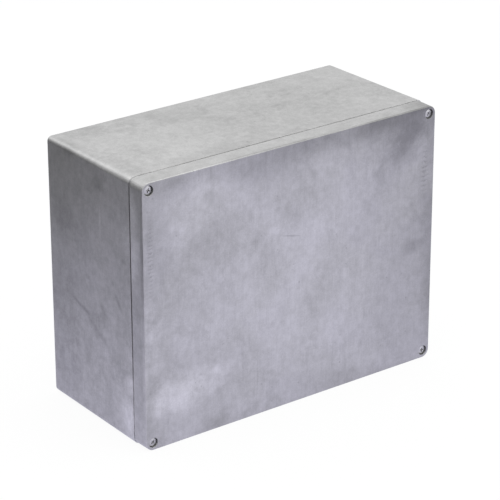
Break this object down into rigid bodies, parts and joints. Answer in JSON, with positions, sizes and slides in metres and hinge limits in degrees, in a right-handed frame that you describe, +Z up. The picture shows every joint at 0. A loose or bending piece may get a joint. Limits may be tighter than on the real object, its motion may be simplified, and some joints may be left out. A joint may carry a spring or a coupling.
{
  "type": "die cast aluminium enclosure",
  "caption": "Rectangular die cast aluminium box with drafted walls and a deep lid that seats on a lap joint, held by recessed screws in its corner posts.",
  "frame": {"origin": "under the middle of the box, on the surface that it stands on", "axes": "+Z up as the box stands on a long narrow side, +X along its length to the right of someone who faces the lid, -Y out of the lid's face, +Y out of the closed back"},
  "size_m": [0.22, 0.1006, 0.171],
  "materials": {
    "cast_aluminium_body": "raw die casting, tumbled, matt with flow marks",
    "cast_aluminium_lid": "raw die casting, tumbled, matt with flow marks",
    "screw_steel": "plated steel, satin"
  },
  "bodies": {
    "body": {"box_body": "cast_aluminium_body"},
    "lid": {"lid": "cast_aluminium_lid"},
    "screw_top_left": {"screw_top_left": "screw_steel"},
    "screw_top_right": {"screw_top_right": "screw_steel"},
    "screw_bottom_left": {"screw_bottom_left": "screw_steel"},
    "screw_bottom_right": {"screw_bottom_right": "screw_steel"}
  },
  "joints": [
    {"name": "lid_lift", "type": "slide", "parent": "body", "child": "lid", "axis": [0, -1, 0], "range_m": [0, 0.12]},
    {"name": "screw_top_left_out", "type": "slide", "parent": "lid", "child": "screw_top_left", "axis": [0, -1, 0], "range_m": [0, 0.03]},
    {"name": "screw_top_right_out", "type": "slide", "parent": "lid", "child": "screw_top_right", "axis": [0, -1, 0], "range_m": [0, 0.03]},
    {"name": "screw_bottom_left_out", "type": "slide", "parent": "lid", "child": "screw_bottom_left", "axis": [0, -1, 0], "range_m": [0, 0.03]},
    {"name": "screw_bottom_right_out", "type": "slide", "parent": "lid", "child": "screw_bottom_right", "axis": [0, -1, 0], "range_m": [0, 0.03]}
  ]
}
